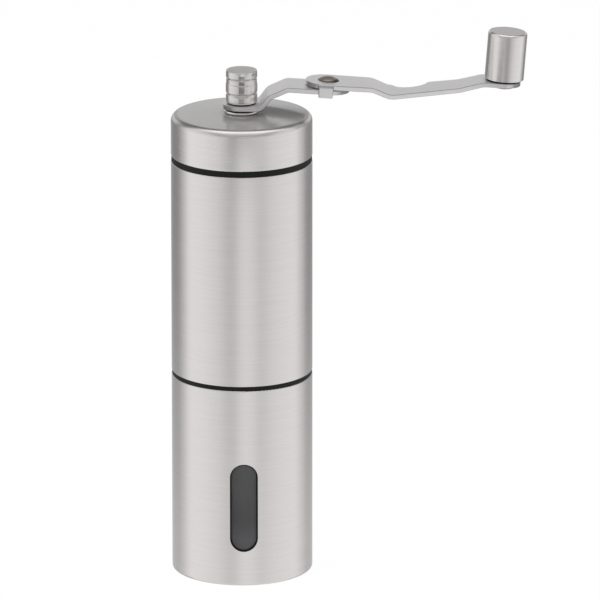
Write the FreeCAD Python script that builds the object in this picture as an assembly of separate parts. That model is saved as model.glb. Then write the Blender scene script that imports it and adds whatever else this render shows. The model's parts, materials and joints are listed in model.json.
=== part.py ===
"""Hand crank coffee grinder: a slim steel mill with a folding crank, conical burrs and a screw-off receiver.

Units are millimetres. The origin is the centre of the base, +Z is up, the window faces -Y and the crank
points along +X. Each piece is one solid, or one group of like solids, written to parts/NODE.step.
"""
import FreeCAD
import Part
import math
import os

V = FreeCAD.Vector
X_AXIS, Y_AXIS, Z_AXIS = V(1, 0, 0), V(0, 1, 0), V(0, 0, 1)
ORIGIN = V(0, 0, 0)

# Steel body, from the bottom up
body_diameter = 47.0
steel_wall = 0.8
receiver_height = 67.7
base_edge_radius = 0.8
joint_ring_height = 1.4
tube_height = 71.9
lid_ring_height = 2.0
lid_height = 14.4
lid_crown = 0.7
lid_edge_radius = 2.3
tube_edge_radius = 0.3
ring_recess = 0.15

# Window in the receiver
window_width = 9.3
window_height = 30.4
window_centre_height = 27.1

# Plastic inner pieces
liner_wall = 1.5
neck_length = 11.0
neck_wall = 1.9
lid_plug_depth = 8.0
lid_web_height = 2.0
lid_web_thickness = 2.0
lid_boss_wall = 1.8

# Clearances
press_gap = 0.1
running_gap = 0.05
push_gap = 0.3
face_gap = 0.15

# Burrs and their housing
housing_neck_wall = 1.9
outer_burr_height = 15.0
outer_burr_mouth_wall = 5.0
outer_burr_foot_wall = 2.1
burr_throat = 4.8
burr_gap = 0.35
inner_burr_height = 16.5
burr_rim_height = 2.0
burr_seal_thickness = 0.5
burr_ring_height = 3.5
burr_ring_wall = 1.5
burr_above_neck = 4.5
housing_spigot_height = 25.0
housing_shoulder_height = 2.0
housing_shoulder_width = 2.2
outer_groove_count = 24
outer_groove_depth = 0.9
inner_flute_count = 7
inner_flute_depth = 2.6
inner_tooth_count = 21
inner_tooth_depth = 0.8
tooth_skew_degrees = 18.0

# Spider that carries the shaft
spider_height = 6.0
spider_rim_wall = 1.6
spider_hub_height = 10.0
spoke_count = 3
spoke_width = 3.0
bush_wall = 1.2
bush_flange_width = 1.3
bush_flange_height = 1.0

# Burr shaft
shaft_diameter = 6.0
hex_flats = 5.0
hex_engagement = 10.0
square_flats = 4.2
thread_diameter = 4.0
thread_tail = 2.0
clip_diameter = 9.4
clip_thickness = 0.8
thrust_washer_diameter = 11.0
thrust_washer_thickness = 0.6

# Burr spring
spring_wire_diameter = 0.9
spring_mean_radius = 4.2
spring_turns = 5

# Grind adjuster
fine_travel = 0.4
click_plate_diameter = 15.0
click_plate_thickness = 1.0
click_count = 12
click_groove_radius = 0.4
adjuster_diameter = 20.0
adjuster_height = 9.0
adjuster_edge_radius = 1.2
scallop_count = 8
scallop_radius = 3.2

# Crank spindle and the pieces stacked on it
collar_diameter = 11.6
collar_height = 1.2
lid_bush_foot = 0.5
spindle_square = 4.2
spindle_thread_diameter = 4.0
spindle_thread_length = 6.0
socket_wall = 1.9
socket_roof = 1.5
crank_washer_thickness = 0.3

# Cap nut
nut_diameter = 10.5
nut_height = 11.4
nut_crown = 0.4
nut_band_heights = (3.9, 5.3)
nut_chamfer_height = 1.4
nut_chamfer_width = 0.35
nut_groove_depth = 0.55
nut_groove_height = 0.6

# Crank arms
arm_thickness = 1.6
inner_eye_radius = 6.4
inner_end_radius = 7.2
inner_bend_radius = 3.0
outer_bend_radius = 6.0
inner_arm_rise = 6.7
inner_rise_start = 6.1
inner_knee = (9.2, 4.1)
inner_rise_end = 15.2
pivot_distance = 28.6
pivot_tilt_degrees = 4.1
pivot_washer_thickness = 0.2
outer_eye_radius = 7.6
dip_start = 14.5
dip_end = 20.6
dip_depth = 2.2
lift_start = 43.3
lift_end = 51.0
lift_slope_rise = 3.7
lift_height = 2.35
knob_distance = 58.0
knob_tilt_degrees = 0.3
knob_eye_radius = 5.6
notch_clearance = 0.55
notch_offset = 7.8

# Stop tab under the folding arm
tab_width = 4.7
tab_offset = 1.0
tab_thickness = 1.3
tab_drop = 2.5
tab_gap = 0.2

# Pivot rivet
rivet_head_diameter = 7.2
rivet_head_height = 1.3
rivet_shank_diameter = 4.4
rivet_foot_diameter = 6.4
rivet_foot_height = 0.9

# Knob
knob_diameter = 13.0
knob_height = 16.0
knob_wall = 0.7
knob_edge_radius = 0.9
knob_core_height = 10.5
knob_washer_thickness = 0.5
knob_washer_diameter = 11.4
axle_diameter = 4.0
axle_head_diameter = 6.0
axle_head_height = 1.2
axle_foot_diameter = 6.2
axle_foot_height = 0.9

# Radii and heights that follow
body_radius = body_diameter / 2
bore_radius = body_radius - steel_wall
pressed_radius = bore_radius - press_gap
ring_radius = body_radius - ring_recess
liner_radius = pressed_radius - liner_wall
neck_bore = pressed_radius - neck_wall
neck_radius = neck_bore - push_gap
shaft_radius = shaft_diameter / 2
shaft_bore = shaft_radius + running_gap

ring_bottom = receiver_height
tube_bottom = ring_bottom + joint_ring_height
tube_top = tube_bottom + tube_height
lid_bottom = tube_top + lid_ring_height
lid_top = lid_bottom + lid_height
liner_floor = steel_wall + press_gap

neck_bottom = ring_bottom - neck_length
burr_bottom = neck_bottom + burr_above_neck
burr_top = burr_bottom + outer_burr_height
shoulder_bottom = burr_top + burr_seal_thickness
shoulder_top = shoulder_bottom + housing_shoulder_height
housing_top = tube_bottom + housing_spigot_height
burr_seat_radius = neck_radius - housing_neck_wall
outer_burr_radius = burr_seat_radius - press_gap
outer_burr_mouth_radius = outer_burr_radius - outer_burr_mouth_wall
outer_burr_foot_radius = outer_burr_radius - outer_burr_foot_wall
inner_burr_top_radius = outer_burr_mouth_radius - burr_throat
shoulder_radius = burr_seat_radius - housing_shoulder_width

spider_top = housing_top + spider_height
hub_middle = housing_top + spider_height / 2
hub_bottom = hub_middle - spider_hub_height / 2
hub_top = hub_middle + spider_hub_height / 2
bush_radius = shaft_bore + bush_wall
bush_flange_radius = bush_radius + bush_flange_width
hub_radius = bush_flange_radius + press_gap

inner_burr_bottom = burr_bottom + burr_gap
inner_burr_top = inner_burr_bottom + inner_burr_height
click_plate_bottom = inner_burr_bottom - click_plate_thickness
adjuster_top = click_plate_bottom - face_gap
adjuster_bottom = adjuster_top - adjuster_height
shaft_bottom = adjuster_bottom - thread_tail

lid_web_bottom = lid_bottom + lid_web_height
lid_shoulder = lid_top - lid_crown
lid_roof = lid_shoulder - steel_wall
lid_bush_bottom = lid_web_bottom - lid_bush_foot
lid_bush_radius = shaft_bore + bush_wall
lid_boss_radius = lid_bush_radius + press_gap + lid_boss_wall
collar_top = lid_top + collar_height
arm_bottom = collar_top + crank_washer_thickness
arm_top = arm_bottom + arm_thickness
nut_bottom = arm_top + crank_washer_thickness
socket_top = lid_bush_bottom - face_gap
hex_bore_flats = hex_flats + 2 * running_gap
socket_radius = hex_bore_flats / 2 + socket_wall
shaft_top = socket_top - socket_roof - face_gap
socket_bottom = shaft_top - hex_engagement

arm_middle = arm_bottom + arm_thickness / 2
pivot_tilt = math.radians(pivot_tilt_degrees)
pivot_normal = V(math.sin(pivot_tilt), 0, math.cos(pivot_tilt))
pivot_middle = V(pivot_distance, 0, arm_middle + inner_arm_rise
                 - (pivot_distance - inner_rise_end) * math.tan(pivot_tilt))
pivot_seat = pivot_middle + pivot_normal * (arm_thickness / 2)
outer_arm_bottom = pivot_washer_thickness
outer_arm_top = outer_arm_bottom + arm_thickness
notch_radius = nut_diameter / 2 + notch_clearance
knob_tilt = math.radians(knob_tilt_degrees)


def ring(inner, outer, bottom, top):
    """A plain tube, or a disc where inner is 0."""
    solid = Part.makeCylinder(outer, top - bottom, V(0, 0, bottom))
    if inner:
        solid = solid.cut(Part.makeCylinder(inner, top - bottom, V(0, 0, bottom)))
    return solid


def turned(*points):
    """The solid turned from a closed outline of (radius, height) points."""
    outline = Part.makePolygon([V(r, 0, z) for r, z in points + points[:1]])
    return Part.Face(outline).revolve(ORIGIN, Z_AXIS, 360)


def prism(sides, flats, bottom, top):
    """A bar with that many sides and that size across its flats."""
    corner = flats / 2 / math.cos(math.pi / sides)
    turn = 2 * math.pi / sides
    corners = [V(corner * math.cos((i + 0.5) * turn), corner * math.sin((i + 0.5) * turn), bottom)
               for i in range(sides + 1)]
    return Part.Face(Part.makePolygon(corners)).extrude(V(0, 0, top - bottom))


def round_edges(solid, radius, height):
    """Rounds the outermost circular edge at that height."""
    circles = [e for e in solid.Edges
               if not e.Degenerated and hasattr(e.Curve, "Radius") and abs(e.BoundBox.ZMin - height) < 1e-6
               and abs(e.BoundBox.ZMax - height) < 1e-6]
    widest = max(circles, key=lambda e: e.Curve.Radius)
    return solid.makeFillet(radius, [widest])


def around(shape, count, start=0.0):
    """Copies of a shape spaced evenly about the Z axis, from a start angle in degrees."""
    copies = []
    for i in range(count):
        copy = shape.copy()
        copy.rotate(ORIGIN, Z_AXIS, start + 360.0 * i / count)
        copies.append(copy)
    return copies


def bent_path(points, radius):
    """Straight runs in the XZ plane through (x, z) points, joined by tangent arcs of one radius."""
    knots = [V(x, 0, z) for x, z in points]
    edges = []
    start = knots[0]
    for before, knot, after in zip(knots, knots[1:], knots[2:]):
        back = (before - knot).normalize()
        ahead = (after - knot).normalize()
        half = back.getAngle(ahead) / 2
        reach = radius / math.tan(half)
        middle = (back + ahead).normalize() * (radius / math.sin(half) - radius)
        arc_start, arc_end = knot + back * reach, knot + ahead * reach
        edges.append(Part.LineSegment(start, arc_start).toShape())
        edges.append(Part.Arc(arc_start, knot + middle, arc_end).toShape())
        start = arc_end
    edges.append(Part.LineSegment(start, knots[-1]).toShape())
    return Part.Wire(edges)


def bent_strip(points, width, radius):
    """A flat strip bent along a path of its middle surface, points as in bent_path."""
    path = bent_path(points, radius)
    first, second = V(points[0][0], 0, points[0][1]), V(points[1][0], 0, points[1][1])
    across = (second - first).normalize().cross(Y_AXIS) * (arm_thickness / 2)
    side = Y_AXIS * (width / 2)
    corners = [first - across - side, first - across + side, first + across + side, first + across - side]
    section = Part.makePolygon(corners + corners[:1])
    return Part.Wire(path).makePipeShell([section], True, False)


def plan(stations, bottom, depth):
    """An upright block whose plan runs along X through (x, half width) stations, with round ends."""
    sides = [V(x, half, bottom) for x, half in stations]
    sides += [V(x, -half, bottom) for x, half in reversed(stations)]
    block = Part.Face(Part.makePolygon(sides + sides[:1])).extrude(V(0, 0, depth))
    ends = [Part.makeCylinder(half, depth, V(x, 0, bottom)) for x, half in (stations[0], stations[-1])]
    return block.fuse(ends).removeSplitter()


def upright(radius, x, y, bottom, through):
    """An upright drill at (x, y) that passes right through a shape."""
    return Part.makeCylinder(radius, through.BoundBox.ZMax - bottom, V(x, y, bottom))


def spring_path(radius, pitch, turns, bottom):
    """A helix drawn as pairs of tangent arcs, one pair to each quarter turn."""
    def point(angle):
        return V(radius * math.cos(angle), radius * math.sin(angle), bottom + pitch * angle / (2 * math.pi))

    def heading(angle):
        return V(-radius * math.sin(angle), radius * math.cos(angle), pitch / (2 * math.pi)).normalize()

    def arc(start, corner, end):
        half_chord = (end - start) * 0.5
        rise = corner - (start + half_chord)
        sagitta = half_chord.Length * math.tan(math.atan(rise.Length / half_chord.Length) / 2)
        return Part.Arc(start, start + half_chord + rise.normalize() * sagitta, end).toShape()

    edges = []
    quarter = math.pi / 2
    for i in range(4 * turns):
        start, end = point(i * quarter), point((i + 1) * quarter)
        leave, arrive = heading(i * quarter), heading((i + 1) * quarter)
        span = end - start
        a = 2 * (1 - leave.dot(arrive))
        b = 2 * span.dot(leave + arrive)
        reach = (math.sqrt(b * b + 4 * a * span.dot(span)) - b) / (2 * a)
        first, second = start + leave * reach, end - arrive * reach
        joint = (first + second) * 0.5
        edges += [arc(start, first, joint), arc(joint, second, end)]
    return Part.Wire(edges), point(0), heading(0)


def receiver_sleeve():
    """Drawn steel cup with a long window in its front wall."""
    cup = round_edges(ring(0, body_radius, 0, receiver_height), base_edge_radius, 0)
    cup = round_edges(cup, tube_edge_radius, receiver_height)
    cup = cup.cut(ring(0, bore_radius, steel_wall, receiver_height))
    straight = window_height - window_width
    slot = Part.makeBox(window_width, body_radius, straight,
                        V(-window_width / 2, -body_radius, window_centre_height - straight / 2))
    for end in (-1, 1):
        centre = V(0, -body_radius, window_centre_height + end * straight / 2)
        slot = slot.fuse(Part.makeCylinder(window_width / 2, body_radius, centre, Y_AXIS))
    return cup.cut(slot)


def receiver_liner():
    """Smoked plastic cup inside the receiver, thicker at the neck that the mill screws into."""
    neck_foot = neck_bottom - face_gap
    return turned((0, liner_floor), (pressed_radius, liner_floor), (pressed_radius, receiver_height),
                  (neck_bore, receiver_height), (neck_bore, neck_foot),
                  (liner_radius, neck_foot - (liner_radius - neck_bore)),
                  (liner_radius, liner_floor + liner_wall), (0, liner_floor + liner_wall))


def upper_tube():
    """Steel tube around the bean chamber."""
    tube = ring(bore_radius, body_radius, tube_bottom, tube_top)
    for end in (tube_bottom, tube_top):
        tube = round_edges(tube, tube_edge_radius, end)
    return tube


def burr_housing():
    """Black insert in the foot of the tube: funnel, burr seat, visible ring and screw neck in one piece."""
    return turned((burr_seat_radius, neck_bottom), (neck_radius, neck_bottom), (neck_radius, ring_bottom),
                  (ring_radius, ring_bottom), (ring_radius, tube_bottom), (pressed_radius, tube_bottom),
                  (pressed_radius, housing_top), (pressed_radius - liner_wall, housing_top),
                  (shoulder_radius, shoulder_top), (shoulder_radius, shoulder_bottom),
                  (burr_seat_radius, shoulder_bottom))


def groove_cutter(depth, length, radius, height, lean, apex_inwards):
    """A three-sided bar that lies along a cone's side and cuts one slanted groove in it."""
    sign = -1 if apex_inwards else 1
    half = depth * 0.75
    corners = [V(sign * depth, 0, -length / 2), V(-sign * depth, half * 2, -length / 2),
               V(-sign * depth, -half * 2, -length / 2)]
    bar = Part.Face(Part.makePolygon(corners + corners[:1])).extrude(V(0, 0, length))
    bar.rotate(ORIGIN, X_AXIS, tooth_skew_degrees)
    bar.rotate(ORIGIN, Y_AXIS, lean)
    bar.translate(V(radius, 0, height))
    return bar


def outer_burr():
    """Ceramic ring with slanted grooves in its tapered bore."""
    body = turned((outer_burr_foot_radius, burr_bottom), (outer_burr_radius, burr_bottom),
                  (outer_burr_radius, burr_top), (outer_burr_mouth_radius, burr_top))
    taper = outer_burr_foot_radius - outer_burr_mouth_radius
    lean = -math.degrees(math.atan(taper / outer_burr_height))
    middle_radius = (outer_burr_foot_radius + outer_burr_mouth_radius) / 2
    cutter = groove_cutter(outer_groove_depth, 2 * outer_burr_height, middle_radius,
                           (burr_bottom + burr_top) / 2, lean, False)
    return body.cut(around(cutter, outer_groove_count))


def burr_seal():
    """Silicone ring between the outer burr and the housing's shoulder."""
    return ring(shoulder_radius, outer_burr_radius, burr_top, shoulder_bottom)


def burr_retaining_ring():
    """Ring that snaps into the neck and holds the outer burr up against its seal."""
    return ring(outer_burr_radius - burr_ring_wall, outer_burr_radius, burr_bottom - burr_ring_height,
                burr_bottom)


def inner_burr():
    """Ceramic cone with broad feeding flutes above and fine slanted teeth near its foot."""
    foot_radius = outer_burr_foot_radius - burr_gap
    rim_top = inner_burr_bottom + burr_rim_height
    taper = (outer_burr_foot_radius - outer_burr_mouth_radius) / outer_burr_height
    rim_radius = foot_radius - taper * burr_rim_height
    body = turned((0, inner_burr_bottom), (foot_radius, inner_burr_bottom), (rim_radius, rim_top),
                  (inner_burr_top_radius, inner_burr_top), (0, inner_burr_top))
    side_height = inner_burr_top - rim_top
    lean = -math.degrees(math.atan((rim_radius - inner_burr_top_radius) / side_height))
    middle_radius = (rim_radius + inner_burr_top_radius) / 2
    flute = groove_cutter(inner_flute_depth, 1.1 * side_height, middle_radius + inner_flute_depth / 3,
                          (rim_top + inner_burr_top) / 2, lean, True)
    tooth = groove_cutter(inner_tooth_depth, side_height, foot_radius, rim_top, lean, True)
    body = body.cut(around(flute, inner_flute_count)).cut(around(tooth, inner_tooth_count))
    return body.cut(prism(4, square_flats + 2 * press_gap, inner_burr_bottom, inner_burr_top))


def bearing_spider():
    """Rim, spokes and hub that stand on the housing and hold the shaft upright."""
    spider = ring(pressed_radius - spider_rim_wall, pressed_radius, housing_top, spider_top)
    hub = ring(0, hub_radius, hub_bottom, hub_top)
    reach = pressed_radius - spider_rim_wall / 2
    spoke = Part.makeBox(reach, spoke_width, spider_height, V(0, -spoke_width / 2, housing_top))
    spider = spider.fuse([hub] + around(spoke, spoke_count, 180.0 / spoke_count)).removeSplitter()
    return spider.cut(ring(0, bush_radius + press_gap, hub_bottom, hub_top))


def shaft_bush():
    """Flanged bush that lines the spider's hub."""
    barrel = ring(shaft_bore, bush_radius, hub_bottom, hub_top)
    flange = ring(shaft_bore, bush_flange_radius, hub_top, hub_top + bush_flange_height)
    return barrel.fuse(flange).removeSplitter()


def burr_shaft():
    """Steel shaft: hexagon for the crank's socket, round bearing, square for the burr, threaded tail."""
    square_top = inner_burr_top + fine_travel + face_gap
    round_top = hub_top + bush_flange_height + clip_thickness + face_gap
    shaft = ring(0, shaft_radius, square_top, round_top)
    hexagon = prism(6, hex_flats, round_top, shaft_top)
    square = prism(4, square_flats, inner_burr_bottom, square_top)
    tail = ring(0, thread_diameter / 2, shaft_bottom, inner_burr_bottom)
    return shaft.fuse([hexagon, square, tail]).removeSplitter()


def shaft_clip():
    """Open spring clip that hangs the shaft on top of its bush."""
    bottom = hub_top + bush_flange_height
    clip = ring(shaft_radius + running_gap / 5, clip_diameter / 2, bottom, bottom + clip_thickness)
    mouth = Part.makeBox(clip_diameter, shaft_diameter * 0.7, clip_thickness,
                         V(0, -shaft_diameter * 0.35, bottom))
    return clip.cut(mouth)


def thrust_washer():
    """Washer under the spider's hub for the spring to push on."""
    top = hub_bottom - face_gap
    return ring(shaft_bore, thrust_washer_diameter / 2, top - thrust_washer_thickness, top)


def burr_spring():
    """Compression spring that keeps the inner burr down on the adjuster."""
    wire = spring_wire_diameter
    top = hub_bottom - face_gap - thrust_washer_thickness - face_gap - wire / 2
    bottom = inner_burr_top + face_gap + wire / 2
    pitch = (top - bottom) / spring_turns
    print("burr spring: gap between turns %.2f mm" % (pitch - wire))
    path, start, heading = spring_path(spring_mean_radius, pitch, spring_turns, bottom)
    section = Part.Wire(Part.makeCircle(wire / 2, start, heading))
    return path.makePipeShell([section], True, False)


def click_plate():
    """Notched steel plate under the inner burr that gives the adjuster its clicks."""
    plate = ring(0, click_plate_diameter / 2, click_plate_bottom, inner_burr_bottom)
    notch = Part.makeCylinder(click_groove_radius, click_plate_diameter,
                              V(square_flats, 0, click_plate_bottom),
                              X_AXIS)
    plate = plate.cut(around(notch, click_count))
    return plate.cut(prism(4, square_flats + 2 * press_gap, click_plate_bottom, inner_burr_bottom))


def adjuster_knob():
    """Scalloped thumb nut on the shaft's tail."""
    knob = ring(0, adjuster_diameter / 2, adjuster_bottom, adjuster_top)
    knob = round_edges(knob, adjuster_edge_radius, adjuster_bottom)
    offset = adjuster_diameter / 2 + scallop_radius * 0.6
    scallop = Part.makeCylinder(scallop_radius, adjuster_height, V(offset, 0, adjuster_bottom))
    knob = knob.cut(around(scallop, scallop_count))
    return knob.cut(ring(0, thread_diameter / 2 + running_gap, adjuster_bottom, adjuster_top))


def lid_shell():
    """Drawn steel cap with a faintly crowned top and a rounded edge."""
    crown_radius = (body_radius ** 2 + lid_crown ** 2) / (2 * lid_crown)
    crown_centre = V(0, 0, lid_top - crown_radius)
    cap = ring(0, body_radius, lid_bottom, lid_top).common(Part.makeSphere(crown_radius, crown_centre))
    cap = round_edges(cap, lid_edge_radius, lid_shoulder)
    cap = round_edges(cap, tube_edge_radius, lid_bottom)
    inside = ring(0, bore_radius, lid_bottom, lid_roof)
    inside = round_edges(inside, lid_edge_radius - steel_wall, lid_roof)
    return cap.cut(inside).cut(ring(0, lid_bush_radius + press_gap, lid_bottom, lid_top))


def lid_liner():
    """Black insert under the cap: visible ring, plug that enters the tube, web and boss for the bush."""
    plug_radius = bore_radius - push_gap
    plug_bottom = tube_top - lid_plug_depth
    spigot_top = lid_roof - lid_edge_radius
    web_top = lid_web_bottom + lid_web_thickness
    boss_top = lid_roof - press_gap
    bush_bore = lid_bush_radius + press_gap
    wall_inside = plug_radius - liner_wall
    return turned((bush_bore, lid_web_bottom), (wall_inside, lid_web_bottom), (wall_inside, plug_bottom),
                  (plug_radius, plug_bottom), (plug_radius, tube_top), (ring_radius, tube_top),
                  (ring_radius, lid_bottom), (pressed_radius, lid_bottom), (pressed_radius, spigot_top),
                  (wall_inside, spigot_top), (wall_inside, web_top), (lid_boss_radius, web_top),
                  (lid_boss_radius, boss_top), (bush_bore, boss_top))


def lid_bush():
    """Flanged bush through the lid; its flange is the bright collar under the crank."""
    barrel = ring(shaft_bore, lid_bush_radius, lid_bush_bottom, lid_top)
    collar = ring(shaft_bore, collar_diameter / 2, lid_top, collar_top)
    return barrel.fuse(collar).removeSplitter()


def crank_spindle():
    """Spindle that hangs in the lid: square for the crank, threaded tip, socket for the shaft's hexagon."""
    journal = ring(0, shaft_radius, socket_top, arm_bottom)
    square = prism(4, spindle_square, arm_bottom, nut_bottom)
    tip = ring(0, spindle_thread_diameter / 2, nut_bottom, nut_bottom + spindle_thread_length)
    head = ring(0, socket_radius, socket_bottom, socket_top)
    head = head.cut(prism(6, hex_bore_flats, socket_bottom, socket_top - socket_roof))
    return head.fuse([journal, square, tip]).removeSplitter()


def crank_washer():
    """Thin dark washer between the collar and the crank."""
    return ring(shaft_bore, collar_diameter / 2, collar_top, arm_bottom)


def nut_washer():
    """Thin dark washer between the crank and the cap nut."""
    return ring(spindle_square * math.sqrt(0.5) + press_gap, nut_diameter / 2 - nut_groove_depth,
                arm_top, nut_bottom)


def cap_nut():
    """Turned finial nut: three bands with sloping shoulders, two grooves between them and a crowned top."""
    radius = nut_diameter / 2
    groove = radius - nut_groove_depth
    shoulder = radius - nut_chamfer_width
    outline = [(0, nut_bottom), (radius, nut_bottom)]
    height = nut_bottom
    for band in nut_band_heights:
        height += band
        outline += [(radius, height - nut_groove_height - nut_chamfer_height),
                    (shoulder, height - nut_groove_height), (groove, height - nut_groove_height / 2),
                    (radius, height)]
    rim = nut_bottom + nut_height - nut_crown
    edges = [Part.makePolygon([V(r, 0, z) for r, z in outline + [(radius, rim)]])]
    crown_radius = (radius ** 2 + nut_crown ** 2) / (2 * nut_crown)
    half_angle = math.asin(radius / crown_radius) / 2
    middle = V(crown_radius * math.sin(half_angle), 0,
               rim + nut_crown - crown_radius * (1 - math.cos(half_angle)))
    peak = V(0, 0, rim + nut_crown)
    edges.append(Part.Arc(V(radius, 0, rim), middle, peak).toShape())
    edges.append(Part.LineSegment(peak, V(0, 0, nut_bottom)).toShape())
    outline_edges = [e for piece in edges for e in piece.Edges]
    nut = Part.Face(Part.Wire(Part.__sortEdges__(outline_edges))).revolve(ORIGIN, Z_AXIS, 360)
    bore = spindle_thread_diameter / 2 + running_gap
    return nut.cut(ring(0, bore, nut_bottom, nut_bottom + spindle_thread_length + face_gap))


def place_on_pivot(shape):
    """Moves a shape made about the pivot's axis, with the inner arm's upper face at 0, to the pivot."""
    placed = shape.copy()
    placed.rotate(ORIGIN, Y_AXIS, pivot_tilt_degrees)
    placed.translate(pivot_seat)
    return placed


def inner_arm():
    """Cranked steel strip from the spindle up to the folding pivot, a little wider at the pivot."""
    knee_x, knee_rise = inner_knee
    tail = pivot_distance + 2 * inner_end_radius
    tail_rise = inner_arm_rise - (tail - inner_rise_end) * math.tan(pivot_tilt)
    strip = bent_strip([(-2 * inner_eye_radius, arm_middle), (inner_rise_start, arm_middle),
                        (knee_x, arm_middle + knee_rise), (inner_rise_end, arm_middle + inner_arm_rise),
                        (tail, arm_middle + tail_rise)], 2 * inner_end_radius, inner_bend_radius)
    strip = strip.common(plan([(0, inner_eye_radius), (pivot_distance, inner_end_radius)], arm_bottom,
                              inner_arm_rise + 2 * arm_thickness))
    strip = strip.cut(prism(4, spindle_square + 2 * running_gap, arm_bottom, arm_top))
    hole = ring(0, rivet_shank_diameter / 2 + running_gap, -2 * arm_thickness, arm_thickness)
    return strip.cut(place_on_pivot(hole))


def outer_arm_line():
    """Middle line of the folding arm as (x, z) points about the pivot, out to past its eye under the knob."""
    flat = outer_arm_bottom + arm_thickness / 2
    low = flat - dip_depth
    lift_foot = low + lift_slope_rise
    eye_start = lift_foot + lift_height
    tail = knob_distance + 2 * knob_eye_radius
    return [(-2 * outer_eye_radius, flat), (dip_start, flat), (dip_end, low), (lift_start, lift_foot),
            (lift_end, eye_start), (tail, eye_start - (tail - lift_end) * math.tan(knob_tilt))]


def place_on_knob_seat(shape):
    """Moves a shape made about the Z axis, with the arm's upper face at 0, to the knob's leaning axis."""
    eye_x, eye_start = outer_arm_line()[-2]
    middle = V(knob_distance, 0, eye_start - (knob_distance - eye_x) * math.tan(knob_tilt))
    placed = shape.copy()
    placed.rotate(ORIGIN, Y_AXIS, knob_tilt_degrees)
    placed.translate(middle + V(math.sin(knob_tilt), 0, math.cos(knob_tilt)) * (arm_thickness / 2))
    return place_on_pivot(placed)


def stop_tab():
    """Tab bent down beside the inner arm; it stops the folding arm in line with it."""
    face = -inner_end_radius - tab_gap
    left = -tab_offset - tab_width / 2
    tab = Part.makeBox(tab_width, tab_thickness, arm_thickness + tab_drop,
                       V(left, face - tab_thickness, outer_arm_bottom - tab_drop))
    root = Part.makeBox(tab_width, tab_thickness - face - rivet_head_diameter / 2, arm_thickness,
                        V(left, face - tab_thickness, outer_arm_bottom))
    tab = tab.fuse(root).removeSplitter()
    fold = [e for e in tab.Edges
            if all(abs(v.Y - face + tab_thickness) < 1e-4 and abs(v.Z - outer_arm_top) < 1e-4
                   for v in e.Vertexes)]
    return tab.makeFillet(tab_thickness * 0.8, fold)


def outer_arm():
    """Folding steel strip: eye over the pivot, dip, notch for the cap nut, lift, eye for the knob, tab."""
    line = outer_arm_line()
    bottom = min(z for x, z in line) - 2 * arm_thickness
    depth = max(z for x, z in line) + 2 * arm_thickness - bottom
    strip = bent_strip(line, 2 * outer_eye_radius, outer_bend_radius)
    strip = strip.common(plan([(0, outer_eye_radius), (knob_distance, knob_eye_radius)], bottom, depth))
    notch_x = math.sqrt(pivot_distance ** 2 - notch_offset ** 2)
    strip = strip.cut(upright(notch_radius, notch_x, notch_offset, bottom, strip))
    strip = strip.fuse(stop_tab()).removeSplitter()
    strip = place_on_pivot(strip.cut(upright(rivet_shank_diameter / 2 + press_gap / 2, 0, 0, bottom, strip)))
    drill = ring(0, axle_diameter / 2 + press_gap / 2, -2 * arm_thickness, arm_thickness)
    return strip.cut(place_on_knob_seat(drill))


def pivot_rivet():
    """Domed rivet that joins the two arms and turns in the inner one."""
    head_radius = rivet_head_diameter / 2
    dome_radius = (head_radius ** 2 + rivet_head_height ** 2) / (2 * rivet_head_height)
    dome = Part.makeSphere(dome_radius, V(0, 0, outer_arm_top + rivet_head_height - dome_radius))
    dome = dome.common(ring(0, head_radius, outer_arm_top, outer_arm_top + rivet_head_height))
    foot_top = -arm_thickness - running_gap
    shank = ring(0, rivet_shank_diameter / 2, foot_top, outer_arm_top)
    foot = ring(0, rivet_foot_diameter / 2, foot_top - rivet_foot_height, foot_top)
    return place_on_pivot(dome.fuse([shank, foot]).removeSplitter())


def pivot_washer():
    """Thin washer between the two arms at the pivot."""
    return place_on_pivot(ring(rivet_shank_diameter / 2 + running_gap, rivet_head_diameter / 2, running_gap,
                               outer_arm_bottom))


def knob_axle():
    """Shouldered pin riveted into the folding arm; its head keeps the knob on."""
    head_bottom = knob_washer_thickness + knob_core_height - axle_head_height - face_gap
    pin = ring(0, axle_diameter / 2, -arm_thickness, head_bottom)
    head = ring(0, axle_head_diameter / 2, head_bottom, head_bottom + axle_head_height)
    foot = ring(0, axle_foot_diameter / 2, -arm_thickness - axle_foot_height, -arm_thickness)
    return place_on_knob_seat(pin.fuse([head, foot]).removeSplitter())


def knob_washer():
    """Black washer under the knob."""
    return place_on_knob_seat(ring(axle_diameter / 2 + running_gap, knob_washer_diameter / 2, 0,
                                   knob_washer_thickness))


def knob_core():
    """Plastic core that turns on the axle, recessed for the axle's head."""
    bottom = knob_washer_thickness + face_gap
    top = knob_washer_thickness + knob_core_height
    recess_bottom = top - axle_head_height - 2 * face_gap
    core = ring(axle_diameter / 2 + running_gap, knob_diameter / 2 - knob_wall - press_gap, bottom, top)
    return place_on_knob_seat(core.cut(ring(0, axle_head_diameter / 2 + face_gap, recess_bottom, top)))


def knob_shell():
    """Drawn steel cap over the knob's core."""
    bottom = knob_washer_thickness + face_gap
    top = bottom + knob_height
    shell = round_edges(ring(0, knob_diameter / 2, bottom, top), knob_edge_radius, top)
    return place_on_knob_seat(shell.cut(ring(0, knob_diameter / 2 - knob_wall, bottom, top - knob_wall)))


PIECES = [receiver_sleeve, receiver_liner, upper_tube, burr_housing, outer_burr, burr_seal,
          burr_retaining_ring, bearing_spider, shaft_bush, burr_shaft, shaft_clip, thrust_washer,
          burr_spring, inner_burr, click_plate, adjuster_knob, lid_shell, lid_liner, lid_bush,
          crank_spindle, crank_washer, nut_washer, cap_nut, inner_arm, outer_arm, pivot_rivet,
          pivot_washer, knob_axle, knob_washer, knob_core, knob_shell]


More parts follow.
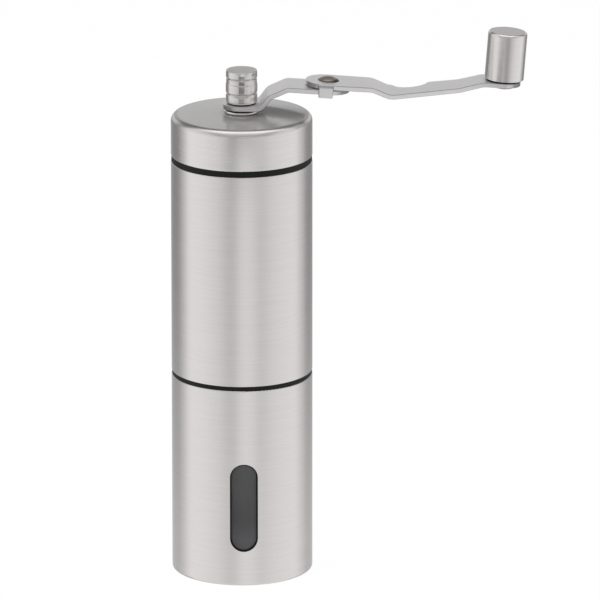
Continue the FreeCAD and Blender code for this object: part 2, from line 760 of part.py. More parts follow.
def main():
    os.makedirs("parts", exist_ok=True)
    for piece in PIECES:
        shape = piece()
        solids = shape.Solids
        if not shape.isValid() or not solids:
            print("not valid:", piece.__name__)
        shape = solids[0] if len(solids) == 1 else Part.makeCompound(solids)
        shape.exportStep("parts/%s.step" % piece.__name__)
        print("%-20s solids %d volume %9.2f" % (piece.__name__, len(solids), shape.Volume))
    print("folded angle %.2f degrees" % (180 - math.degrees(math.asin(notch_offset / pivot_distance))))
    seat = place_on_knob_seat(Part.Vertex(ORIGIN)).Point
    print("pivot seat %.4f %.4f %.4f, knob seat %.4f %.4f %.4f" % (*pivot_seat, *seat))
    print("heights: lid top %.2f, shaft top %.2f, socket %.2f, hub %.2f to %.2f, shaft foot %.2f"
          % (lid_top, shaft_top, socket_bottom, hub_bottom, hub_top, shaft_bottom))


main()
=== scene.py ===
"""Looks of the hand crank coffee grinder: steels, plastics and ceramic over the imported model, in a light tent."""
import json
import math

import bmesh
import bpy
from mathutils import Matrix, Vector


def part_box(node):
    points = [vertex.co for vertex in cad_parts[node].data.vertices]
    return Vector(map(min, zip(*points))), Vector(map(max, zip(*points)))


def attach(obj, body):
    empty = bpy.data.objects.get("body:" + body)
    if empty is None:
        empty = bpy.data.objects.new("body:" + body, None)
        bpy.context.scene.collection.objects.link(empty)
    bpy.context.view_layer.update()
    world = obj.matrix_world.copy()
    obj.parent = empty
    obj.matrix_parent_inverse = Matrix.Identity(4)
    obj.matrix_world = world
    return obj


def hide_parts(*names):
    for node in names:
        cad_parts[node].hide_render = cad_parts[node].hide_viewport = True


MM = 0.001
SAME_POINT = 0.001 * MM
# Most values of a noise pattern lie between these two.
NOISE_LOW, NOISE_HIGH = 0.3, 0.7
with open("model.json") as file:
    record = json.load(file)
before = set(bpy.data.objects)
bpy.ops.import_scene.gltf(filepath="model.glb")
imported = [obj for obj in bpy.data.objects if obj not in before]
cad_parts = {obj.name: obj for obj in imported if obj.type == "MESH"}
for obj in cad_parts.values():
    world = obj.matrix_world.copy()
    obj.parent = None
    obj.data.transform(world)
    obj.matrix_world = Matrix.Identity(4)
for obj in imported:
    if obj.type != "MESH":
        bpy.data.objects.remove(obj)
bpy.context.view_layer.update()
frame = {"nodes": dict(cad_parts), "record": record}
joint_of = {joint["name"]: joint for joint in frame["record"]["behaviour"]["joints"]}


def colour(hex_value):
    """sRGB hex to the linear colour that the shader takes."""
    channels = [int(hex_value[i:i + 2], 16) / 255 for i in (0, 2, 4)]
    return [c / 12.92 if c <= 0.04045 else ((c + 0.055) / 1.055) ** 2.4 for c in channels] + [1.0]


def node(tree, kind, inputs=None, stops=(), **settings):
    """Adds a shader node with its settings, ramp stops and inputs; an input that is a socket is linked."""
    made = tree.nodes.new("ShaderNode" + kind)
    for name, value in settings.items():
        setattr(made, name, value)
    for place, (position, value) in enumerate(stops):
        points = made.color_ramp.elements
        point = points[place] if place < len(points) else points.new(1.0)
        point.position = position
        point.color = value if not isinstance(value, float) else (value, value, value, 1)
    for name, value in (inputs or {}).items():
        if isinstance(value, bpy.types.NodeSocket):
            tree.links.new(value, made.inputs[name])
        else:
            made.inputs[name].default_value = value
    return made


def material(name, **sockets):
    """A material with its Principled shader set; returns material, tree and shader."""
    made = bpy.data.materials.new(name)
    made.use_nodes = True
    tree = made.node_tree
    shader = tree.nodes["Principled BSDF"]
    for socket, value in sockets.items():
        shader.inputs[socket.replace("_", " ")].default_value = value
    return made, tree, shader


def turned_metal(name, line_mm, streak_mm, rough, tones, smear, end_rough=0.0, seat_mm=(0, 0, 0), lean=0.0,
                 edge_shade=1.0, edge_shade_reach=(0.9, 0.975), end_shade=1.0, lacquer=0.0):
    """Round metal brushed on the lathe: fine lines round its axis that smear reflections along the axis.

    Real lines are a few hundredths of a millimetre wide; they are drawn coarser so that they show.
    A flat end has no smear, is duller than the side by end_rough and is painted darker by end_shade, painted shade.
    The turn of its edge is painted darker by edge_shade where the upward part of its normal is within
    edge_shade_reach, a painted dark line of shade. Clear lacquer on a flat end adds a soft mirror over the dull
    metal.
    """
    flat_from, flat_at = 0.93, 0.995
    edge_blend, end_blend = 0.16, 0.023
    line_depth_mm = 0.02
    made, tree, shader = material(name, Metallic=1.0, Anisotropic_Rotation=0.25, Coat_Roughness=0.14, Coat_IOR=1.7)
    place = node(tree, "TexCoord")
    local = node(tree, "Mapping", {"Vector": place.outputs["Object"], "Location": [c * MM for c in seat_mm],
                                   "Rotation": (0, math.radians(lean), 0), "Scale": (MM, MM, MM)},
                 vector_type="TEXTURE")
    axes = node(tree, "SeparateXYZ", {"Vector": local.outputs["Vector"]})
    level = node(tree, "VectorMath", {0: local.outputs["Vector"], 1: (1, 1, 0)}, operation="MULTIPLY")
    radius = node(tree, "VectorMath", {0: level.outputs["Vector"]}, operation="LENGTH")
    across = node(tree, "Math", {0: axes.outputs["Z"], 1: radius.outputs["Value"]}, operation="SUBTRACT")
    wound = node(tree, "CombineXYZ", {"X": axes.outputs["X"], "Y": axes.outputs["Y"], "Z": across.outputs["Value"]})
    cells = node(tree, "VectorMath", {0: wound.outputs["Vector"], 1: (1 / streak_mm, 1 / streak_mm, 1 / line_mm)},
                 operation="MULTIPLY")
    lines = node(tree, "TexNoise", {"Vector": cells.outputs["Vector"], "Scale": 1.0, "Detail": 3.0})
    tone = node(tree, "ValToRGB", {"Fac": lines.outputs["Fac"]},
                stops=[(NOISE_LOW, colour(tones[0])), (NOISE_HIGH, colour(tones[1]))])
    facing = node(tree, "SeparateXYZ", {"Vector": place.outputs["Normal"]})
    # Painted shade: the turn of a flat end's edge, and the flat end itself, are darkened by which way the face looks.
    turn = node(tree, "ValToRGB", {"Fac": facing.outputs["Z"]},
                stops=[(edge_shade_reach[0] - edge_blend, 1.0), (edge_shade_reach[0], edge_shade), (edge_shade_reach[1], edge_shade),
                       (edge_shade_reach[1] + end_blend, end_shade)])
    shaded = node(tree, "VectorMath", {0: tone.outputs["Color"], 1: turn.outputs["Color"]}, operation="MULTIPLY")
    tree.links.new(shaded.outputs["Vector"], shader.inputs["Base Color"])
    flat_end = {}
    for socket, side, end in (("Roughness", 0.0, end_rough), ("Anisotropic", smear, 0.0),
                              ("Coat Weight", 0.0, lacquer)):
        blend = node(tree, "MapRange", {"Value": facing.outputs["Z"], "From Min": flat_from, "From Max": flat_at,
                                        "To Min": side, "To Max": end})
        flat_end[socket] = blend.outputs["Result"]
    gloss = node(tree, "MapRange", {"Value": lines.outputs["Fac"], "From Min": NOISE_LOW, "From Max": NOISE_HIGH,
                                    "To Min": rough[0], "To Max": rough[1]})
    dull = node(tree, "Math", {0: gloss.outputs["Result"], 1: flat_end["Roughness"]}, operation="ADD")
    tree.links.new(dull.outputs["Value"], shader.inputs["Roughness"])
    tree.links.new(flat_end["Anisotropic"], shader.inputs["Anisotropic"])
    tree.links.new(flat_end["Coat Weight"], shader.inputs["Coat Weight"])
    bump = node(tree, "Bump", {"Height": lines.outputs["Fac"], "Strength": 0.04, "Distance": line_depth_mm * MM})
    tree.links.new(bump.outputs["Normal"], shader.inputs["Normal"])
    girth = node(tree, "Tangent", direction_type="RADIAL", axis="Z")
    tree.links.new(girth.outputs["Tangent"], shader.inputs["Tangent"])
    return made


def tumbled_stainless():
    """Stamped stainless strip tumbled with stones: an even satin with a trace of grain that has no direction.

    The rounded corner between its face and its side is painted as a thin darker line along the strip, painted shade.
    """
    grain_mm = 0.7
    # Painted shade: the strip's rounded corners are darkened by which way they face.
    painted_edge_shade_tones = [(0.2, 1.0), (0.45, 0.35), (0.8, 0.35), (0.97, 0.9)]
    made, tree, shader = material("tumbled_stainless", Metallic=1.0)
    place = node(tree, "TexCoord")
    grain = node(tree, "TexNoise", {"Vector": place.outputs["Object"], "Scale": 1 / (grain_mm * MM), "Detail": 3.0})
    tone = node(tree, "ValToRGB", {"Fac": grain.outputs["Fac"]},
                stops=[(NOISE_LOW, colour("EAE8E9")), (NOISE_HIGH, colour("EFEDEE"))])
    facing = node(tree, "SeparateXYZ", {"Vector": place.outputs["Normal"]})
    sideways = node(tree, "Math", {0: facing.outputs["Y"]}, operation="ABSOLUTE")
    edge = node(tree, "ValToRGB", {"Fac": sideways.outputs["Value"]}, stops=painted_edge_shade_tones)
    grain_with_painted_edge = node(tree, "VectorMath", {0: tone.outputs["Color"], 1: edge.outputs["Color"]}, operation="MULTIPLY")
    tree.links.new(grain_with_painted_edge.outputs["Vector"], shader.inputs["Base Color"])
    gloss = node(tree, "MapRange", {"Value": grain.outputs["Fac"], "From Min": NOISE_LOW, "From Max": NOISE_HIGH,
                                    "To Min": 0.42, "To Max": 0.46})
    tree.links.new(gloss.outputs["Result"], shader.inputs["Roughness"])
    return made


def moulded_plastic(name, hex_value, roughness, shine, grit_mm, depth_mm):
    """Moulded plastic or rubber: an even colour, dulled by the fine grit of its mould."""
    made, tree, shader = material(name, Roughness=roughness, IOR=1.5, Specular_IOR_Level=shine)
    shader.inputs["Base Color"].default_value = colour(hex_value)
    place = node(tree, "TexCoord")
    grit = node(tree, "TexNoise", {"Vector": place.outputs["Object"], "Scale": 1 / (grit_mm * MM), "Detail": 2.0})
    bump = node(tree, "Bump", {"Height": grit.outputs["Fac"], "Strength": 0.25, "Distance": depth_mm * MM})
    tree.links.new(bump.outputs["Normal"], shader.inputs["Normal"])
    return made


def smoked_styrene():
    """Clear plastic tinted dark grey, with a glossy moulded face; its tint is painted paler low down, painted light
    for the cup's lit floor seen through it.
    """
    tinted_height_mm, haze_mm = 50, 10
    # Painted light: lighter at 15 mm for the lit floor of the cup seen through it, darker just above.
    tints_with_painted_light = [(12, "3A3A3C"), (15, "47474A"), (18, "404042"), (22, "363638"), (35, "3E3E40"), (45, "404042")]
    made, tree, shader = material("smoked_styrene", Roughness=0.12, IOR=1.55, Transmission_Weight=0.35)
    place = node(tree, "TexCoord")
    axes = node(tree, "SeparateXYZ", {"Vector": place.outputs["Object"]})
    height = node(tree, "MapRange", {"Value": axes.outputs["Z"], "From Max": tinted_height_mm * MM})
    tone = node(tree, "ValToRGB", {"Fac": height.outputs["Result"]},
                stops=[(height_mm / tinted_height_mm, colour(tint)) for height_mm, tint in tints_with_painted_light])
    haze = node(tree, "TexNoise", {"Vector": place.outputs["Object"], "Scale": 1 / (haze_mm * MM), "Detail": 1.0})
    shade = node(tree, "MapRange", {"Value": haze.outputs["Fac"], "From Min": NOISE_LOW, "From Max": NOISE_HIGH,
                                    "To Min": 0.92, "To Max": 1.08})
    mottled = node(tree, "VectorMath", {0: tone.outputs["Color"], "Scale": shade.outputs["Result"]},
                   operation="SCALE")
    tree.links.new(mottled.outputs["Vector"], shader.inputs["Base Color"])
    return made


def burr_ceramic():
    """Sintered alumina: off-white, faintly mottled, dull where it was ground."""
    mottle_mm, pit_depth_mm = 1.6, 0.03
    made, tree, shader = material("burr_ceramic", Roughness=0.38, IOR=1.76)
    place = node(tree, "TexCoord")
    mottle = node(tree, "TexNoise", {"Vector": place.outputs["Object"], "Scale": 1 / (mottle_mm * MM), "Detail": 3.0})
    tone = node(tree, "ValToRGB", {"Fac": mottle.outputs["Fac"]},
                stops=[(NOISE_LOW, colour("E4E0D6")), (NOISE_HIGH, colour("F1EEE6"))])
    tree.links.new(tone.outputs["Color"], shader.inputs["Base Color"])
    bump = node(tree, "Bump", {"Height": mottle.outputs["Fac"], "Strength": 0.2, "Distance": pit_depth_mm * MM})
    tree.links.new(bump.outputs["Normal"], shader.inputs["Normal"])
    return made


slot_finishes = {
    # Drawn tube brushed on the lathe: soft upright bars of light and dark.
    "brushed_steel": turned_metal("brushed_stainless", line_mm=0.5, streak_mm=14.0, rough=(0.28, 0.34),
                                  tones=("D8D5D4", "DEDBDA"), smear=0.6),
    # Polished on the lathe: clear reflections.
    "polished_steel": turned_metal("polished_stainless", line_mm=0.3, streak_mm=9.0, rough=(0.08, 0.13),
                                   tones=("DAD7D6", "E2DFDE"), smear=0.2),
    "arm_steel": tumbled_stainless(),
    # Left as it was turned: greyer and duller.
    "plain_steel": turned_metal("turned_steel", line_mm=0.35, streak_mm=9.0, rough=(0.24, 0.36),
                                tones=("B4B2B0", "C4C2C0"), smear=0.3),
    "black_plastic": moulded_plastic("black_abs", "0C0C0C", roughness=0.45, shine=0.2, grit_mm=0.35, depth_mm=0.02),
    "silicone": moulded_plastic("grey_silicone", "5A5A5A", roughness=0.6, shine=0.4, grit_mm=0.5, depth_mm=0.02),
    "smoked_plastic": smoked_styrene(),
    "ceramic": burr_ceramic(),
    # Brass turned on the lathe: warm, with a soft sheen.
    "brass": turned_metal("turned_brass", line_mm=0.35, streak_mm=9.0, rough=(0.22, 0.32),
                          tones=("B99354", "CBA764"), smear=0.3),
}
# Polished: its bands mirror dark things in front as small dark squares. Its lines are drawn broad and faint, so
# that they don't break up such small squares.
nut_finish = turned_metal("nut_stainless", line_mm=1.5, streak_mm=9.0, rough=(0.14, 0.18),
                          tones=("CECBCA", "D8D5D4"), smear=0.2, end_rough=0.35)
knob_joint = joint_of["knob_spin"]
node_finishes = {
    # Drawn cap, brushed on its side and dull under lacquer on top; its top is painted darker and the turn of its edge
    # carries a painted dark line of shade.
    "lid_shell": turned_metal("lid_stainless", line_mm=0.5, streak_mm=14.0, rough=(0.24, 0.28),
                              tones=("D8D5D4", "DEDBDA"), smear=0.3, end_rough=0.5, edge_shade=0.55,
                              end_shade=0.74, lacquer=1.0),
    # Drawn cap of the knob, brushed round its leaning axle.
    "knob_shell": turned_metal("knob_stainless", line_mm=0.3, streak_mm=5.0, rough=(0.2, 0.25),
                               tones=("D8D5D4", "E0DDDC"), smear=0.5, end_rough=0.35,
                               seat_mm=[c / MM for c in knob_joint["pos_m"]],
                               lean=math.degrees(math.asin(knob_joint["axis"][0]))),
    # Upset head, browned a little, with a dark ring of painted shade round the slope of its dome.
    "pivot_rivet": turned_metal("rivet_stainless", line_mm=0.3, streak_mm=5.0, rough=(0.36, 0.4),
                                tones=("968D86", "A0978F"), smear=0.0, edge_shade=0.28, edge_shade_reach=(0.66, 0.83)),
}
for part in frame["record"]["subparts"]:
    shown = frame["nodes"][part["node"]]
    shown.data.materials.clear()
    shown.data.materials.append(node_finishes.get(part["node"], slot_finishes[part["material_slot"]]))


def object_from(name, shape, finish):
    """Makes the finished bmesh an object with one material."""
    mesh = bpy.data.meshes.new(name)
    shape.to_mesh(mesh)
    shape.free()
    mesh.materials.append(finish)
    made = bpy.data.objects.new(name, mesh)
    bpy.context.scene.collection.objects.link(made)
    return made


def piece_from(name, shape, finish, body):
    """Makes the finished bmesh a piece with smooth faces that rides on a body."""
    for face in shape.faces:
        face.smooth = True
    piece = object_from(name, shape, finish)
    piece.modifiers.new("even_light", "WEIGHTED_NORMAL").keep_sharp = True
    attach(piece, body)
    return piece


def softened_strip(part_name, body):
    """A steel strip with its stamped edges rounded over, as tumbling leaves them."""
    flat_angle, edge_angle, round_mm = math.radians(0.5), math.radians(40), 0.3
    shape = bmesh.new()
    shape.from_mesh(frame["nodes"][part_name].data)
    bmesh.ops.remove_doubles(shape, verts=shape.verts, dist=SAME_POINT)
    bmesh.ops.dissolve_limit(shape, angle_limit=flat_angle, verts=shape.verts, edges=shape.edges)
    corners = [e for e in shape.edges if e.is_manifold and e.calc_face_angle() > edge_angle]
    bmesh.ops.bevel(shape, geom=corners, offset=round_mm * MM, offset_type="OFFSET", affect="EDGES",
                    segments=3, profile=0.5, material=-1, clamp_overlap=False)
    piece = piece_from(part_name + "_soft", shape, slot_finishes["arm_steel"], body)
    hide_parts(part_name)


softened_strip("inner_arm", "crank")
softened_strip("outer_arm", "folding_arm")


def turned_shape(outline_mm, foot_mm, steps):
    """Spins an outline of radius and height round the mill's axis into a closed shape."""
    shape = bmesh.new()
    points = [shape.verts.new(Vector((r, 0, z + foot_mm)) * MM) for r, z in outline_mm]
    sides = [shape.edges.new(pair) for pair in zip(points, points[1:])]
    bmesh.ops.spin(shape, geom=points + sides, cent=(0, 0, 0), axis=(0, 0, 1), angle=2 * math.pi, steps=steps,
                   use_merge=True)
    bmesh.ops.remove_doubles(shape, verts=shape.verts, dist=SAME_POINT)
    bmesh.ops.recalc_face_normals(shape, faces=shape.faces)
    return shape


def finial_nut():
    """Turned cap nut: three bands with rounded lips, a cove and a groove between them and a crowned top."""
    foot_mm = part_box("cap_nut")[0].z / MM
    # Radius and height above the foot, from the blind bore outwards and up; close pairs keep the flats flat.
    outline = [(0, 6.15), (2.05, 6.15), (2.05, 0), (4.7, 0), (4.95, 0.08), (5.12, 0.22), (5.2, 0.42), (5.23, 0.6),
               (5.23, 0.66), (5.23, 2.3), (5.23, 2.36), (5.18, 2.62), (5.08, 2.95), (5.0, 3.12), (4.9, 3.2),
               (4.72, 3.24), (4.72, 3.46), (4.95, 3.5), (5.15, 3.58), (5.24, 3.7), (5.25, 3.8), (5.25, 3.86),
               (5.25, 6.3), (5.25, 6.36), (5.22, 6.48), (5.14, 6.6), (5.1, 6.68), (5.1, 6.74), (5.1, 8.0),
               (5.1, 8.06), (5.06, 8.22), (4.95, 8.34), (4.72, 8.38), (4.72, 8.62), (4.95, 8.66), (5.12, 8.72),
               (5.19, 8.82), (5.2, 8.9), (5.2, 8.96), (5.2, 9.9), (5.2, 9.96), (5.13, 10.76), (5.12, 10.82),
               (5.09, 10.91), (5.02, 10.97), (4.92, 10.99), (4.8, 10.99), (2.6, 11.01), (0, 11.02)]
    shape = turned_shape(outline, foot_mm, 128)
    piece = piece_from("cap_nut_turned", shape, nut_finish, "crank")
    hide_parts("cap_nut")


finial_nut()


def collar_bush():
    """Turned bush whose flange is the bright rounded collar; it stops just short of the washer that turns on it."""
    flange_mm, gap_mm, chamfer_mm, foot_band_mm = 1.2, 0.03, 0.2, 0.1
    low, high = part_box("lid_bush")
    points = [point.co for point in frame["nodes"]["lid_bush"].data.vertices]
    bore = min(point.xy.length for point in points) / MM
    barrel = max(point.xy.length for point in points if point.z < low.z + foot_band_mm * MM) / MM
    rim, top = high.x / MM, (high.z - low.z) / MM
    face = top - gap_mm
    outline = [(bore, 0), (barrel - chamfer_mm, 0), (barrel, chamfer_mm), (barrel, top - flange_mm),
               (rim - 0.35, top - flange_mm), (rim - 0.1, top - 1.08), (rim, top - 0.85), (rim, top - 0.72),
               (rim - 0.05, top - 0.5), (rim - 0.2, top - 0.24), (rim - 0.42, top - 0.08), (rim - 0.75, face),
               (bore + chamfer_mm, face), (bore, face - chamfer_mm), (bore, 0)]
    shape = turned_shape(outline, low.z / MM, 96)
    piece = piece_from("lid_bush_turned", shape, slot_finishes["polished_steel"], "lid")
    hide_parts("lid_bush")


collar_bush()


def short_spring():
    """Spring drawn a little shorter than in the model, so that the cone can rise to its limit under it."""
    gap_mm = 0.03
    low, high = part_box("burr_spring")
    room = joint_of["burr_travel"]["range_m"][1] + gap_mm * MM
    shape = bmesh.new()
    shape.from_mesh(frame["nodes"]["burr_spring"].data)
    bmesh.ops.remove_doubles(shape, verts=shape.verts, dist=SAME_POINT)
    bmesh.ops.scale(shape, verts=shape.verts, vec=(1, 1, 1 - room / (high.z - low.z)),
                    space=Matrix.Translation((0, 0, -high.z)))
    piece = piece_from("burr_spring_short", shape, slot_finishes["plain_steel"], "grinding_shaft")
    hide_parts("burr_spring")


short_spring()


def window_shade_bead():
    """Dark bead round the long window, between the steel and the smoked cup: a dark piece put in for the shade in the
    gap behind the window's edge, painted shade.
    """
    window_middle_mm, half_run_mm = 27.1, 10.55
    outer_mm, inner_mm = 4.62, 4.3
    front_mm, back_mm = 23.3, 22.75
    shape = bmesh.new()
    loops = []
    for reach_mm, depth_mm in ((outer_mm, front_mm), (inner_mm, front_mm), (inner_mm, back_mm), (outer_mm, back_mm)):
        points = bmesh.ops.create_circle(shape, segments=64, radius=reach_mm * MM)["verts"]
        loops.append([edge for edge in shape.edges if edge.verts[0] in points])
        # Each half of the circle moves to its end of the window, and all of it back onto the round of the tube.
        for point in points:
            across, along = point.co.x, point.co.y
            run_mm = half_run_mm if along > 0.1 * SAME_POINT else -half_run_mm
            forward = -math.sqrt((depth_mm * MM) ** 2 - across ** 2)
            point.co = (across, forward, along + (window_middle_mm + run_mm) * MM)
    for near, far in zip(loops, loops[1:] + loops[:1]):
        bmesh.ops.bridge_loops(shape, edges=near + far)
    bmesh.ops.recalc_face_normals(shape, faces=shape.faces)
    # Painted shade: the black bead stands in for the shade behind the window's edge.
    piece_from("window_shade_bead", shape, slot_finishes["black_plastic"], "receiver")


window_shade_bead()


def stage_piece(name, shape, finish, **visibility):
    """Makes the bmesh a piece of the studio, with its ray visibility set."""
    piece = object_from(name, shape, finish)
    for rays, seen in visibility.items():
        setattr(piece, "visible_" + rays, seen)


def glow(name):
    """A material that only gives light; returns material, tree and emission node."""
    made = bpy.data.materials.new(name)
    made.use_nodes = True
    tree = made.node_tree
    tree.nodes.remove(tree.nodes["Principled BSDF"])
    light = node(tree, "Emission")
    tree.links.new(light.outputs["Emission"], tree.nodes["Material Output"].inputs["Surface"])
    return made, tree, light


mill_middle = (0, 0, 0.09)
metal_only = {"camera": False, "diffuse": False, "shadow": False, "transmission": False, "volume_scatter": False}
# Brightness by bearing in degrees from the front: the table's far side below eye level, the walls above it.
table_bearings = [(-180, 0.68), (-166, 0.5), (-152, 0.3), (-128, 0.28), (-112, 0.6), (-96, 1.04), (-70, 0.98),
                  (-45, 0.88), (-19, 0.62), (3, 0.99), (14, 0.93), (29, 0.72), (52, 0.88), (72, 0.94), (96, 1.0),
                  (112, 0.7), (130, 0.32), (152, 0.3), (166, 0.5), (180, 0.68)]
wall_bearings = [(-180, 0.78), (-150, 0.7), (-125, 0.35), (-98, 0.9), (-60, 0.8), (-38, 0.48), (38, 0.48), (60, 0.8),
                 (98, 0.9), (125, 0.35), (150, 0.7), (180, 0.78)]
# Brightness of the roof from the front, -1, to the back, 1, and how it falls off to the sides.
roof_depths = [(-0.8, 0.6), (-0.35, 0.95), (-0.1, 1.6), (0.15, 1.55), (0.42, 0.34), (0.8, 0.3)]
roof_full_to, roof_side_from, roof_side_share = 0.3, 0.65, 0.55
# Heights, as the upward part of a direction, between which the table gives way to walls and the walls to the roof.
table_to_wall, wall_to_roof = (0.0, 0.1), (0.42, 0.56)


def tent_cloth():
    """The tent as metal sees it: pale cloth at the sides and behind, a dimmer front and a soft box overhead."""
    made, tree, light = glow("tent_cloth")
    place = node(tree, "TexCoord")
    middle = node(tree, "VectorMath", {0: place.outputs["Object"], 1: mill_middle}, operation="SUBTRACT")
    outward = node(tree, "VectorMath", {0: middle.outputs["Vector"]}, operation="NORMALIZE")
    axes = node(tree, "SeparateXYZ", {"Vector": outward.outputs["Vector"]})
    front = node(tree, "Math", {0: axes.outputs["Y"], 1: -1.0}, operation="MULTIPLY")
    turn = node(tree, "Math", {0: axes.outputs["X"], 1: front.outputs["Value"]}, operation="ARCTAN2")
    bearing = node(tree, "Math", {0: turn.outputs["Value"], 1: 1 / (2 * math.pi), 2: 0.5}, operation="MULTIPLY_ADD")
    aft = node(tree, "MapRange", {"Value": axes.outputs["Y"], "From Min": -1.0, "From Max": 1.0})
    bands = []
    for place_on_ramp, values, full in ((bearing.outputs["Value"], table_bearings, 360),
                                        (bearing.outputs["Value"], wall_bearings, 360),
                                        (aft.outputs["Result"], roof_depths, 2)):
        band = node(tree, "ValToRGB", {"Fac": place_on_ramp}, stops=[(0.5 + at / full, v) for at, v in values])
        band.color_ramp.interpolation = "EASE"
        bands.append(band.outputs["Color"])
    low, high, roof = bands
    aside = node(tree, "Math", {0: axes.outputs["X"]}, operation="ABSOLUTE")
    narrow = node(tree, "MapRange", {"Value": aside.outputs["Value"], "From Min": roof_full_to,
                                     "From Max": roof_side_from, "To Min": 1.0, "To Max": roof_side_share},
                  interpolation_type="SMOOTHSTEP")
    soft_box = node(tree, "VectorMath", {0: roof, "Scale": narrow.outputs["Result"]}, operation="SCALE")
    rise = node(tree, "MapRange", {"Value": axes.outputs["Z"], "From Min": table_to_wall[0],
                                   "From Max": table_to_wall[1]}, interpolation_type="SMOOTHSTEP")
    walls = node(tree, "Mix", {"Factor": rise.outputs["Result"], "A": low, "B": high})
    height = node(tree, "MapRange", {"Value": axes.outputs["Z"], "From Min": wall_to_roof[0],
                                     "From Max": wall_to_roof[1]}, interpolation_type="SMOOTHSTEP")
    whole = node(tree, "Mix", {"Factor": height.outputs["Result"], "A": walls.outputs["Result"],
                               "B": soft_box.outputs["Vector"]})
    tree.links.new(whole.outputs["Result"], light.inputs["Color"])
    return made


def light_tent():
    """The sphere of cloth round the mill, its faces turned inwards."""
    shape = bmesh.new()
    bmesh.ops.create_uvsphere(shape, u_segments=64, v_segments=32, radius=2.0,
                              matrix=Matrix.Translation(mill_middle))
    bmesh.ops.reverse_faces(shape, faces=shape.faces)
    stage_piece("light_tent", shape, tent_cloth(), **metal_only)


def table_glow():
    """The white table as metal sees it: bright round the foot of the mill and fading outwards."""
    bright_to, gone_at, most = 0.06, 0.45, 0.42
    made, tree, light = glow("table_glow")
    place = node(tree, "TexCoord")
    reach = node(tree, "VectorMath", {0: place.outputs["Object"]}, operation="LENGTH")
    fade = node(tree, "MapRange", {"Value": reach.outputs["Value"], "From Min": bright_to, "From Max": gone_at,
                                   "To Min": most, "To Max": 0.0})
    clear = node(tree, "BsdfTransparent")
    mixed = node(tree, "MixShader", {0: fade.outputs["Result"], 1: clear.outputs["BSDF"],
                                     2: light.outputs["Emission"]})
    tree.links.new(mixed.outputs["Shader"], tree.nodes["Material Output"].inputs["Surface"])
    return made


def table_shine():
    """The round of table that shines into the metal, just under the mill's foot."""
    drop_mm = 0.3
    shape = bmesh.new()
    bmesh.ops.create_circle(shape, cap_ends=True, segments=96, radius=0.52,
                            matrix=Matrix.Translation((0, 0, -drop_mm * MM)))
    stage_piece("table_shine", shape, table_glow(), **metal_only)


def card_cloth(name, middle_mm, core_mm, edge_mm, depth):
    """Dark cloth that fades out sideways from its core to its edge, so that steel shows it with soft sides."""
    made, tree, light = glow(name)
    light.inputs["Color"].default_value = colour("303030")
    place = node(tree, "TexCoord")
    axes = node(tree, "SeparateXYZ", {"Vector": place.outputs["Object"]})
    offset = node(tree, "Math", {0: axes.outputs["X"], 1: middle_mm * MM}, operation="SUBTRACT")
    aside = node(tree, "Math", {0: offset.outputs["Value"]}, operation="ABSOLUTE")
    fade = node(tree, "MapRange", {"Value": aside.outputs["Value"], "From Min": core_mm * MM,
                                   "From Max": edge_mm * MM, "To Min": depth, "To Max": 0.0},
                interpolation_type="SMOOTHSTEP")
    clear = node(tree, "BsdfTransparent")
    mixed = node(tree, "MixShader", {0: fade.outputs["Result"], 1: clear.outputs["BSDF"],
                                     2: light.outputs["Emission"]})
    tree.links.new(mixed.outputs["Shader"], tree.nodes["Material Output"].inputs["Surface"])
    return made


def dark_card(name, middle_mm, width_mm, height_mm, core_mm, edge_mm, depth, turn=0.0):
    """Upright dark card that only the metal sees."""
    shape = bmesh.new()
    bmesh.ops.create_grid(shape, x_segments=1, y_segments=1, size=0.5,
                          matrix=Matrix.Translation(Vector(middle_mm) * MM)
                          @ Matrix.Rotation(math.radians(turn), 4, "Z") @ Matrix.Rotation(math.pi / 2, 4, "X")
                          @ Matrix.Diagonal((width_mm * MM, height_mm * MM, 1, 1)))
    stage_piece(name, shape, card_cloth(name, middle_mm[0], core_mm, edge_mm, depth), **metal_only)


def pale_floor():
    """White table: it shows as white to the camera and keeps a trace of the contact shadow."""
    white_share = 0.97
    made, tree, shader = material("pale_floor", Roughness=0.6)
    shader.inputs["Base Color"].default_value = colour("F0F0EF")
    white = node(tree, "Emission", {"Color": (1, 1, 1, 1), "Strength": 1.0})
    rays = node(tree, "LightPath")
    share = node(tree, "Math", {0: rays.outputs["Is Camera Ray"], 1: white_share}, operation="MULTIPLY")
    mixed = node(tree, "MixShader", {0: share.outputs["Value"], 1: shader.outputs["BSDF"],
                                     2: white.outputs["Emission"]})
    tree.links.new(mixed.outputs["Shader"], tree.nodes["Material Output"].inputs["Surface"])
    return made


def table_top():
    """The wide table that the mill stands on."""
    shape = bmesh.new()
    bmesh.ops.create_grid(shape, x_segments=1, y_segments=1, size=6.0)
    stage_piece("table_top", shape, pale_floor(), glossy=False)


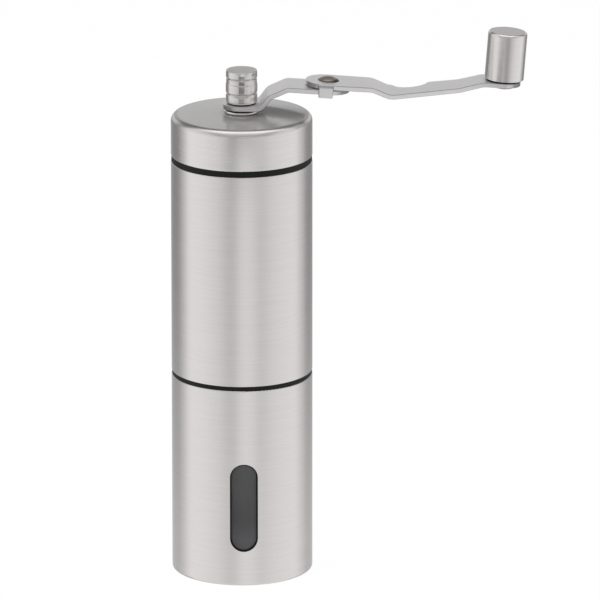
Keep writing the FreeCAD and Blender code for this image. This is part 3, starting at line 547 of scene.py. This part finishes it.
def white_world():
    """White to the camera, in metal and through plastic; a plain soft fill for everything else."""
    fill = 0.45
    world = bpy.data.worlds.new("studio_air")
    world.use_nodes = True
    tree = world.node_tree
    back = tree.nodes["Background"]
    rays = node(tree, "LightPath")
    metal = node(tree, "Math", {0: rays.outputs["Is Camera Ray"], 1: rays.outputs["Is Glossy Ray"]},
                 operation="MAXIMUM")
    seen = node(tree, "Math", {0: metal.outputs["Value"], 1: rays.outputs["Is Transmission Ray"]},
                operation="MAXIMUM")
    strength = node(tree, "Math", {0: seen.outputs["Value"], 1: 1.0 - fill, 2: fill}, operation="MULTIPLY_ADD")
    back.inputs["Color"].default_value = (1, 1, 1, 1)
    tree.links.new(strength.outputs["Value"], back.inputs["Strength"])
    bpy.context.scene.world = world


def soft_lamp(name, place, width, height, watts):
    """A soft box aimed at the mill that lights plastics and ceramic; the tent is what the metal reflects."""
    lamp = bpy.data.lights.new(name, "AREA")
    lamp.shape, lamp.size, lamp.size_y, lamp.energy = "RECTANGLE", width, height, watts
    made = bpy.data.objects.new(name, lamp)
    made.location = place
    made.rotation_euler = (Vector(mill_middle) - Vector(place)).to_track_quat("-Z", "Y").to_euler()
    made.visible_glossy = False
    bpy.context.scene.collection.objects.link(made)


light_tent()
table_shine()
# In front of the crank: the nut and the knob show their cards as dark upright bars.
dark_card("nut_card", (0, -120, 137.4), width_mm=104, height_mm=12.5, core_mm=34, edge_mm=52, depth=1.0)
dark_card("knob_card", (89, -26, 170), width_mm=26, height_mm=26, core_mm=1, edge_mm=12, depth=0.55)
# Just above the lid, behind the arm: the lid's top shows it as a painted shadow of the arm over it, which stays put
# when the crank turns.
dark_card("arm_shadow_card", (13.5, 10.2, 160.6), width_mm=20.2, height_mm=4.4, core_mm=7, edge_mm=9.5, depth=0.75, turn=-36)
table_top()
white_world()
soft_lamp("left_box", (-0.9, -0.7, 0.7), width=0.6, height=0.9, watts=9.0)
soft_lamp("right_box", (0.9, -0.6, 0.6), width=0.6, height=0.9, watts=6.0)
soft_lamp("top_box", (0.0, 0.2, 1.2), width=0.9, height=0.9, watts=8.0)

view_azimuth, view_elevation, view_distance = math.radians(-1.7), math.radians(16.0), 3.0
view_aim = Vector((19.35, 0, 92.35)) * MM
lens = bpy.data.cameras.new("long_lens")
lens.lens, lens.sensor_width = 540.0, 36.0
lens.clip_end = 50.0
camera = bpy.data.objects.new("long_lens", lens)
outward = Vector((math.sin(view_azimuth) * math.cos(view_elevation),
                  -math.cos(view_azimuth) * math.cos(view_elevation), math.sin(view_elevation)))
camera.location = view_aim + outward * view_distance
camera.rotation_euler = (-outward).to_track_quat("-Z", "Y").to_euler()
bpy.context.scene.collection.objects.link(camera)
bpy.context.scene.camera = camera
bpy.context.scene.view_settings.view_transform = "Standard"
